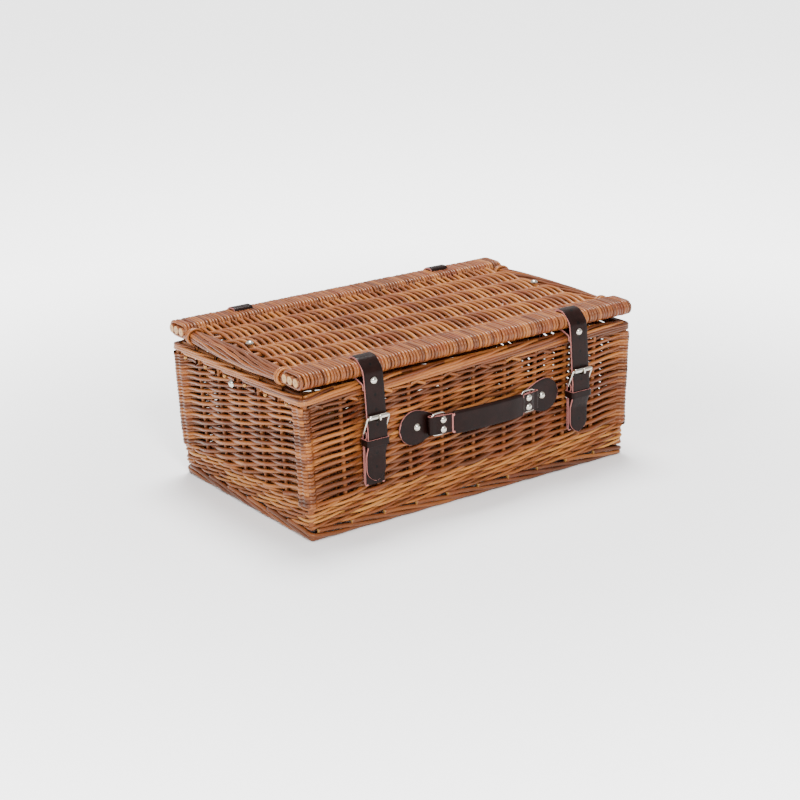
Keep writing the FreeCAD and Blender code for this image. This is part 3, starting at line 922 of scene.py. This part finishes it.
def leatherPiece(name, route, plane, middle, width, thick, body, nodes, look="leather", bevel=0.5,
                 widthAt=None, endsOnly=False):
    # strip of leather along a route in a plane; width may change with the distance from either end
    bm = bmesh.new()
    columns = 8
    rows = len(route) - 1
    bmesh.ops.create_grid(bm, x_segments=rows, y_segments=columns, size=0.5)
    total = sum((b - a).length for a, b in zip(route, route[1:]))
    strapLayer = bm.verts.layers.float_vector.new("strap")
    middleLayer = bm.verts.layers.float.new("middle")
    normals = {}
    for v in bm.verts:
        i = round((v.co.x + 0.5) * rows)
        w = v.co.y
        here = route[i]
        ahead = route[min(i + 1, rows)] - route[max(i - 1, 0)]
        normal = Vector((-ahead.y, ahead.x)).normalized()
        d = total * i / rows
        full = widthAt(d, total) if widthAt else width
        across = w * full
        flat = here + normal * thick / 2
        v.co = offPlane(plane, flat, middle + across)
        normals[v.index] = offPlane(plane, normal, 0)
        v[strapLayer] = (d * mm, (full / 2 - abs(across)) * mm, 0)
        v[middleLayer] = across * mm
    bm.verts.index_update()
    bm.normal_update()
    face = bm.faces[:][0]
    if face.normal.dot(normals[face.verts[0].index]) < 0:
        bmesh.ops.reverse_faces(bm, faces=bm.faces[:])
    bmesh.ops.solidify(bm, geom=bm.faces[:], thickness=thick)
    bm.normal_update()
    edges = rimEdges(bm, endsOnly)
    bmesh.ops.bevel(bm, geom=edges, offset=bevel, segments=2, profile=0.5, affect="EDGES", material=-1)
    bmesh.ops.recalc_face_normals(bm, faces=bm.faces[:])
    for f in bm.faces:
        f.smooth = True
    mesh = bpy.data.meshes.new(name)
    bm.to_mesh(mesh)
    bm.free()
    mesh.transform(Matrix.Translation((0, centreY * mm, 0)) @ Matrix.Scale(mm, 4))
    mesh.set_sharp_from_angle(angle=math.radians(50))
    return finishPiece(name, mesh, [looks[look], looks["edge"]], body, nodes)


def rimEdges(bm, endsOnly):
    # sharp edges round a strip, with the cut faces between them marked as edge leather
    sharp = [e for e in bm.edges if len(e.link_faces) == 2 and e.calc_face_angle(0) > math.radians(60)]
    border = set(sharp)
    for f in bm.faces:
        if sum(1 for e in f.edges if e in border) >= 2 and not (endsOnly and abs(f.normal.z) > 0.5):
            f.material_index = 1
    return sharp


strap = {
    "x": 155.5, "width": 27.0, "thick": 2.6, "tip": 16.0, "tipWidth": 9.0, "lidFace": 156.0,
    "heel": {"left": 121.0, "right": 115.0}, "tipZ": {"left": 61.0, "right": 53.0},
}
buckle = {
    "half": 15.4, "wire": 1.35, "roller": 3.0, "rollerHalf": 13.4, "prong": 1.3, "barOut": 7.5,
    "topOut": 17.4, "rise": 22.0, "corner": 3.0,
}
chape = {"width": 27.0, "thick": 2.1, "inner": 3.5, "outer": 6.1}
signs = {"left": -1, "right": 1}


def faceY(z):
    return halfSize(z)[1]


def tipped(width, tip, tipWidth):
    # a strap's width, drawn in to a blunt rounded point at the end of its route
    def widthAt(d, total):
        left = total - d
        if left > tip:
            return width
        t = 1 - left / tip
        return lerp(width, tipWidth, t * t) * math.sqrt(max(1 - t ** 6, 0.04))
    return widthAt


def strapRoute(side):
    # round the outer sticks of the front roll, down the front, over the buckle and down to the tip
    yMid, zMid = rollMiddle("front")[:2]
    seat = roll["seat"]
    heel = strap["heel"][side]
    face = faceY(heel)
    thick = strap["thick"]
    top = strap["lidFace"] + thick * 1.5 + 0.7
    over = face + buckle["barOut"] + 2.0 + 0.4 + thick + 1.7
    flat = face + 2 * thick + 4.3
    back = yMid + 2.5
    front = yMid - roll["gap"]
    return [(-(strap["lidFace"] + 0.6 * thick), 174.0, 1), (-(strap["lidFace"] + 0.7 * thick), 181.0, 4),
            (front + 2, zMid - seat, 5), (back, zMid - seat, 5), (back, zMid + seat + 0.4, 5),
            (front, zMid + seat, seat), (front - seat - 1.0, zMid, seat),
            (-top, 184.0, 8), (-over + 1.6, heel + 22, 12), (-over, heel + 5, 8), (-over, heel - 14, 6),
            (-flat, heel - 28, 16), (-flat, strap["tipZ"][side])]


def makeFrontStrap(side):
    x = signs[side] * strap["x"]
    route = roundedRoute(strapRoute(side), 4, 1.6)
    shape = tipped(strap["width"], strap["tip"], strap["tipWidth"])
    body = ("lid", "strap_tail_" + side, Vector(toFrame((x, -157, 190))), Vector(toFrame((x, -157, 176))))
    leatherPiece("front_strap_" + side, route[::-1], "yz", x, strap["width"], strap["thick"], body,
                 ["strap_loop_" + side, "strap_tail_" + side], look="holedLeather",
                 widthAt=lambda d, total: shape(total - d, total))


for side in signs:
    makeFrontStrap(side)


def chapeRoute(side):
    # folded round the heel bar and down the wall, both layers
    heel = strap["heel"][side]
    face = faceY(heel)
    bar = -(face + buckle["barOut"])
    inner, outer = -(face + chape["inner"]), -(face + chape["outer"])
    r = 2.0 + 0.2 + 1.1
    return [(inner, 58.0, 2), (inner, heel - 8, 8), (bar + r + 0.6, heel - 1, 3), (bar + r, heel + r, r),
            (bar - r, heel + r, r), (bar - r, heel - 3, 4), (outer, heel - 12, 8), (outer, 56.0, 2)]


def makeChape(side):
    x = signs[side] * strap["x"]
    route = roundedRoute(chapeRoute(side), 3, 1.6)
    leatherPiece("chape_" + side, route, "yz", x, chape["width"], chape["thick"], "basket",
                 ["buckle_chape_" + side])


def makeKeeper(side):
    # narrow loop round both layers, its ends butted behind
    low, high = boxMm("keeper_" + side)
    y0, y1 = low[1] - centreY + 1.0, high[1] - centreY - 0.9
    x0, x1 = low[0] + 1.0, high[0] - 1.0
    xm = (x0 + x1) / 2
    loop = [(xm, y1), (x0, y1, 3), (x0, y0, 3), (x1, y0, 3), (x1, y1, 3), (xm + 0.01, y1)]
    route = roundedRoute(loop, 3, 1.2)
    leatherPiece("strap_keeper_" + side, route, "xy", (low[2] + high[2]) / 2, 8.6, 1.7, "keeper_" + side,
                 ["keeper_" + side], look="plainLeather", bevel=0.4)


for side in signs:
    makeChape(side)
    makeKeeper(side)


def makeBuckle(side):
    heel = strap["heel"][side]
    face = faceY(heel)
    x = signs[side] * strap["x"]
    low = Vector((0, -(face + buckle["barOut"]), heel))
    high = Vector((0, -(face + buckle["topOut"]), heel + buckle["rise"]))
    half = buckle["half"]
    corners = [(-half, low), (half, low), (half, high), (-half, high)]
    loop = []
    for k, (px, p) in enumerate(corners):
        here = Vector((x + px, p.y, p.z))
        before = Vector((x + corners[k - 1][0], *corners[k - 1][1].yz))
        after = Vector((x + corners[(k + 1) % 4][0], *corners[(k + 1) % 4][1].yz))
        a = here + (before - here).normalized() * buckle["corner"]
        b = here + (after - here).normalized() * buckle["corner"]
        for j in range(7):
            t = j / 6
            place = a.lerp(here, t).lerp(here.lerp(b, t), t)
            loop.append((*place, buckle["wire"], 0.5))
    wirePiece("buckle_wire_" + side, loop, "buckle_" + side, "buckle_frame_" + side, closed=True)
    tube = []
    for k in range(9):
        px = lerp(-buckle["rollerHalf"], buckle["rollerHalf"], k / 8)
        tube.append((x + px, high.y, high.z, buckle["roller"], 0.5))
    wirePiece("buckle_roll_" + side, tube, "buckle_" + side, "buckle_roller_" + side, 16)
    reach = buckle["roller"] + buckle["prong"]
    path = [(low.y - 1.0, low.z - 2.6), (low.y + 1.6, low.z - 1.6), (low.y + 2.4, low.z + 1.0),
            (low.y + 0.8, low.z + 2.6), (low.y - 1.8, low.z + 4.0), (low.y - 2.8, low.z + 8.0),
            (low.y - 3.4, low.z + 12.5), (low.y - 7.5, low.z + 16.0),
            (high.y - reach - 0.1, high.z - 2.6), (high.y - reach, high.z + 0.6),
            (high.y - reach + 1.4, high.z + 2.8)]
    dense = evenly([Vector(p) for p in path], 1.0)
    prong = [(x, p.x, p.y, buckle["prong"], 0.5) for p in dense]
    wirePiece("buckle_tongue_" + side, prong, "prong_" + side, "buckle_prong_" + side, 10)


for side in signs:
    makeBuckle(side)

hinge = {"width": 27.0, "thick": 2.5, "low": 92.0}


def makeHinge(side):
    # round the outer sticks of the rear roll and down the rear wall
    yMid, zMid = rollMiddle("rear")[:2]
    seat = roll["seat"]
    back = yMid + roll["gap"]
    front = yMid - 2.5
    tail = 154.0 + 1.7
    route = [(tail - 0.2, 176.0, 1), (back - 2, zMid - seat - 0.3, 5), (front, zMid - seat, 5),
             (front, zMid + seat + 0.4, 5), (back, zMid + seat, seat), (back + seat, zMid, seat),
             (tail + 1.6, 183.0, 8), (tail, 172.0, 8), (tail - 1.2, 150.0, 8), (tail - 1.2, hinge["low"])]
    x = signs[side] * strap["x"]
    shape = tipped(hinge["width"], 10, 14)
    body = ("basket", "lid", Vector(toFrame((x, 157, 178))), Vector(toFrame((x, 157, 190))))
    leatherPiece("hinge_leather_" + side, roundedRoute(route, 4, 1.8), "yz", x, hinge["width"],
                 hinge["thick"], body, ["hinge_strap_" + side], widthAt=shape)


for side in signs:
    makeHinge(side)
print("straps and hinges made")

handle = {
    "x": 6.0, "z": 111.0, "ringInner": 58.5, "ringOuter": 79.5, "ringHalf": 13.6, "ringWire": 1.35,
    "tabEnd": 121.5, "tabRadius": 21.5, "tabThick": 2.4, "tabNarrow": 15.0,
    "strapHigh": 23.0, "strapThick": 2.3, "gripHalf": 54.5, "gripHigh": 29.0, "gripThick": 7.6,
}


def ringY():
    return -(faceY(handle["z"]) + 0.3 + 2.6 + 5.4)


def makeTab(side):
    # egg-shaped tab flat on the wall, its narrow end turned round the ring and back on itself
    s = signs[side]
    y = -(faceY(handle["z"]) + 0.3 + 1.3)
    bar = handle["ringInner"]
    r = 3.0
    ring = ringY()
    points = [(handle["tabEnd"], y), (bar + 14.0, y - 0.2, 10), (bar - 0.5, y - 0.3, 4),
              (bar - r - 0.6, ring, r), (bar, ring - r, r), (bar + 3.5, ring - 1.2, 3)]
    route = [Vector((handle["x"] + s * p.x, p.y)) for p in roundedRoute(points, 4, 1.6)]

    def widthAt(d, total):
        radius = handle["tabRadius"]
        if d < radius:
            t = 1 - d / radius
            return 2 * radius * math.sqrt(max(1 - t * t, 0.02))
        return lerp(2 * radius, handle["tabNarrow"], smooth((d - radius) / 46))
    leatherPiece("handle_tab_leather_" + side, route, "xy", handle["z"], 2 * handle["tabRadius"],
                 handle["tabThick"], "basket", ["handle_tab_" + side], widthAt=widthAt)


def makeHandleStrap():
    # flat band that turns back round the ring at each end
    ring = ringY()
    bar = handle["ringOuter"]
    half = [(bar - 18.0, ring - 3.0, 3), (bar - 10.0, ring - 2.6, 4), (bar - 5.0, ring + 3.0, 5),
            (bar + 3.2, ring + 3.0, 3.4), (bar + 3.2, ring - 3.2, 3.4), (bar - 5.0, ring - 3.2, 5),
            (bar - 10.0, ring - 5.3, 5), (bar - 19.5, ring - 5.5, 8),
            (handle["gripHalf"] - 2, ring - 7.6, 12), (38.0, ring - 9.6, 60)]
    left = [(handle["x"] - p[0], *p[1:]) for p in half]
    right = [(handle["x"] + p[0], *p[1:]) for p in half[::-1]]
    route = roundedRoute(left + [(handle["x"], ring - 11.0, 200)] + right, 4, 1.6)
    leatherPiece("handle_band", route, "xy", handle["z"], handle["strapHigh"], handle["strapThick"],
                 "handle", ["handle_strap"])


def makeGrip():
    # thick sleeve sewn round the middle of the band
    ring = ringY()
    h = handle["x"]
    g = handle["gripHalf"]
    points = [(h - g, ring - 7.4), (h - 38, ring - 9.6, 120), (h, ring - 11.0, 300),
              (h + 38, ring - 9.6, 120), (h + g, ring - 7.4)]

    def widthAt(d, total):
        end = min(d, total - d)
        return handle["gripHigh"] * (0.86 + 0.14 * math.sqrt(min(end / 9.0, 1.0)))
    leatherPiece("handle_sleeve", roundedRoute(points, 60, 2.0), "xy", handle["z"], handle["gripHigh"],
                 handle["gripThick"], "handle", ["handle_grip"], widthAt=widthAt, bevel=2.4, endsOnly=True)


def makeRing(side):
    # bent wire loop between the tab and the end of the band
    s = signs[side]
    ring = ringY()
    x0, x1 = handle["ringInner"], handle["ringOuter"]
    mid, reach, tall = (x0 + x1) / 2, (x1 - x0) / 2, handle["ringHalf"]
    loop = []
    for k in range(40):
        a = 2 * math.pi * k / 40
        cx, cz = math.cos(a), math.sin(a)
        px = mid + reach * math.copysign(abs(cx) ** 0.45, cx)
        pz = tall * math.copysign(abs(cz) ** 0.6, cz)
        loop.append((handle["x"] + s * px, ring, handle["z"] + pz, handle["ringWire"], 0.5))
    wirePiece("handle_loop_" + side, loop, "ring_" + side, "handle_ring_" + side, closed=True)


for side in signs:
    makeTab(side)
    makeRing(side)
makeHandleStrap()
makeGrip()
print("handle made")

stay = {
    "y": 7.0, "width": 20.0, "thick": 2.2, "wallX": 229.4, "wallZ": 158.0, "lidX": 221.0, "lidZ": 190.4,
    "low": 50.0,
}


def makeStay(side):
    # leather stay, hung in a fold inside the end wall
    s = signs[side]
    hang = [(stay["wallX"] - 1.2, stay["wallZ"] + 9), (stay["wallX"] - 1.2, stay["low"] + 8, 3),
            (stay["wallX"] - 4, stay["low"], 3.5), (stay["wallX"] - 7, stay["low"] + 8, 3),
            (stay["wallX"] - 6.4, stay["lidZ"] - 8, 4), (stay["lidX"] - 2, stay["lidZ"] - 1.2, 3),
            (stay["lidX"] - 12, stay["lidZ"] - 1.2)]
    route = [Vector((s * p.x, p.y)) for p in roundedRoute(hang, 3, 2.4)]
    x = s * stay["lidX"]
    body = ("basket", "lid", Vector(toFrame((x, stay["y"], 165))), Vector(toFrame((x, stay["y"], 190))))
    leatherPiece("lid_stay_" + side, route, "xz", stay["y"], stay["width"], stay["thick"], body,
                 ["stay_" + side], look="plainLeather")


for side in signs:
    makeStay(side)


# kept metal and sticks
def dress(names, material):
    for name in names:
        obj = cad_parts[name]
        obj.data.materials.clear()
        obj.data.materials.append(material)


nodeNames = sorted(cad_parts)
dress([n for n in nodeNames if n.endswith("_stakes") or n.startswith("corner_posts")], looks["stickZ"])
dress(["base_sticks", "lid_sticks"], looks["stickX"])
dress([n for n in nodeNames if "stud" in n or "rivet" in n], looks["nickel"])


# stage
def makeStage():
    bm = bmesh.new()
    bmesh.ops.create_grid(bm, x_segments=2, y_segments=2, size=6.0)
    mesh = bpy.data.meshes.new("floor")
    bm.to_mesh(mesh)
    bm.free()
    mat = Mat("floorPaintAndGlow")
    # painted light: the floor glows more with distance from the basket, whitening the floor far off while
    # the contact shadow near the basket stays
    x, y = mat.parts(mat.objectCoords())[:2]
    away = (x * x + y * y).power(0.5).step(0.32, 1.3)
    glow = mat.mix(away, (0.0, 0.0, 0.0, 1), (1.0, 1.0, 1.0, 1))
    mesh.materials.append(mat.finish(Base_Color=(0.95, 0.95, 0.95, 1), Roughness=0.8, Emission_Color=glow,
                                     Emission_Strength=2.2))
    floor = bpy.data.objects.new("floor", mesh)
    bpy.context.scene.collection.objects.link(floor)


def areaLight(name, place, size, power):
    light = bpy.data.lights.new(name, "AREA")
    light.shape = "DISK"
    light.size = size
    light.energy = power
    obj = bpy.data.objects.new(name, light)
    bpy.context.scene.collection.objects.link(obj)
    obj.location = place
    aim = Vector((0, 0, 0.1))
    obj.rotation_euler = (aim - Vector(place)).to_track_quat("-Z", "Y").to_euler()


camera = {"azimuth": -34.84, "elevation": 18.45, "roll": -1.46, "distance": 2.357, "lens": 82.5,
          "target": (-0.0078, -0.001, 0.0883)}


def makeCamera():
    data = bpy.data.cameras.new("camera")
    data.lens = camera["lens"]
    data.sensor_width = 36.0
    obj = bpy.data.objects.new("camera", data)
    bpy.context.scene.collection.objects.link(obj)
    a = math.radians(camera["azimuth"])
    e = math.radians(camera["elevation"])
    back = Vector((math.sin(a) * math.cos(e), -math.cos(a) * math.cos(e), math.sin(e)))
    target = Vector(camera["target"]) + Vector((0, centreY * mm, 0))
    turn = (-back).to_track_quat("-Z", "Y").to_matrix().to_4x4()
    rolled = turn @ Matrix.Rotation(math.radians(camera["roll"]), 4, "Z")
    obj.matrix_world = Matrix.Translation(target + back * camera["distance"]) @ rolled
    bpy.context.scene.camera = obj


world = bpy.data.worlds.new("studio")
world.use_nodes = True
world.node_tree.nodes["Background"].inputs[0].default_value = (1, 1, 1, 1)
world.node_tree.nodes["Background"].inputs[1].default_value = 0.95
bpy.context.scene.world = world
makeStage()
areaLight("key", (-0.9, -2.2, 1.7), 0.6, 80)
areaLight("side", (-2.4, -0.4, 1.5), 0.9, 30)
areaLight("top", (0.4, 0.6, 2.6), 1.2, 130)
makeCamera()
print("stage made")
